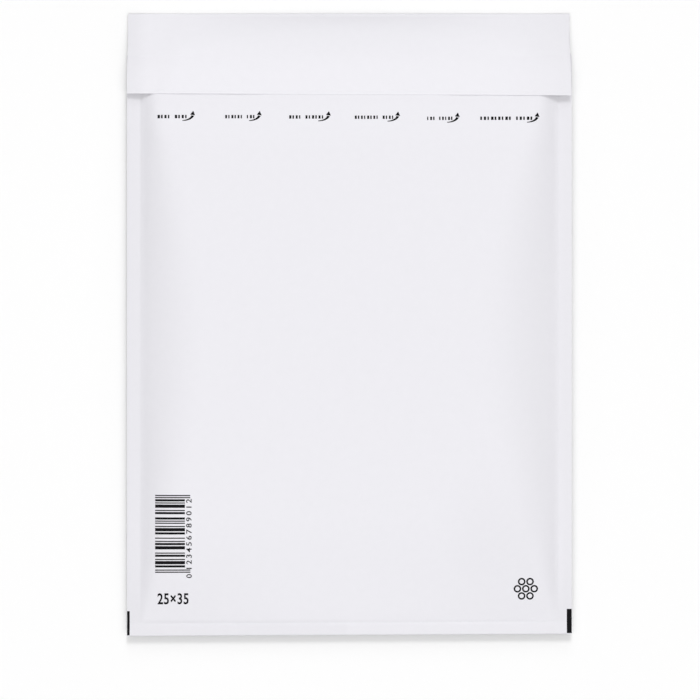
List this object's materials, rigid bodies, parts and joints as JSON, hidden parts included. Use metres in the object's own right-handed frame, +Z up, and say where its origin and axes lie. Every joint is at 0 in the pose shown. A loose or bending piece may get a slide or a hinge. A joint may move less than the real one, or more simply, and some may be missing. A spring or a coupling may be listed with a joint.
{
  "type": "padded envelope",
  "caption": "White paper mailing envelope with a bubble lining, sealed sides, folded bottom and a flap folded over its front.",
  "frame": {"origin": "middle of the envelope, on the surface that its back panel lies on", "axes": "+X across the width, +Y along the length from the bottom fold to the flap's crease, +Z up through the front panel"},
  "size_m": [0.25, 0.35, 0.011],
  "materials": {
    "white_paper": "matt",
    "bubble_film": "glossy clear film",
    "adhesive": "tacky satin",
    "release_paper": "silicone coated, satin",
    "black_ink": "matt printed ink"
  },
  "bodies": {
    "root": {"paper_sleeve": "white_paper", "bubble_lining": "bubble_film", "adhesive_strip": "adhesive", "release_liner": "release_paper"}
  },
  "joints": []
}
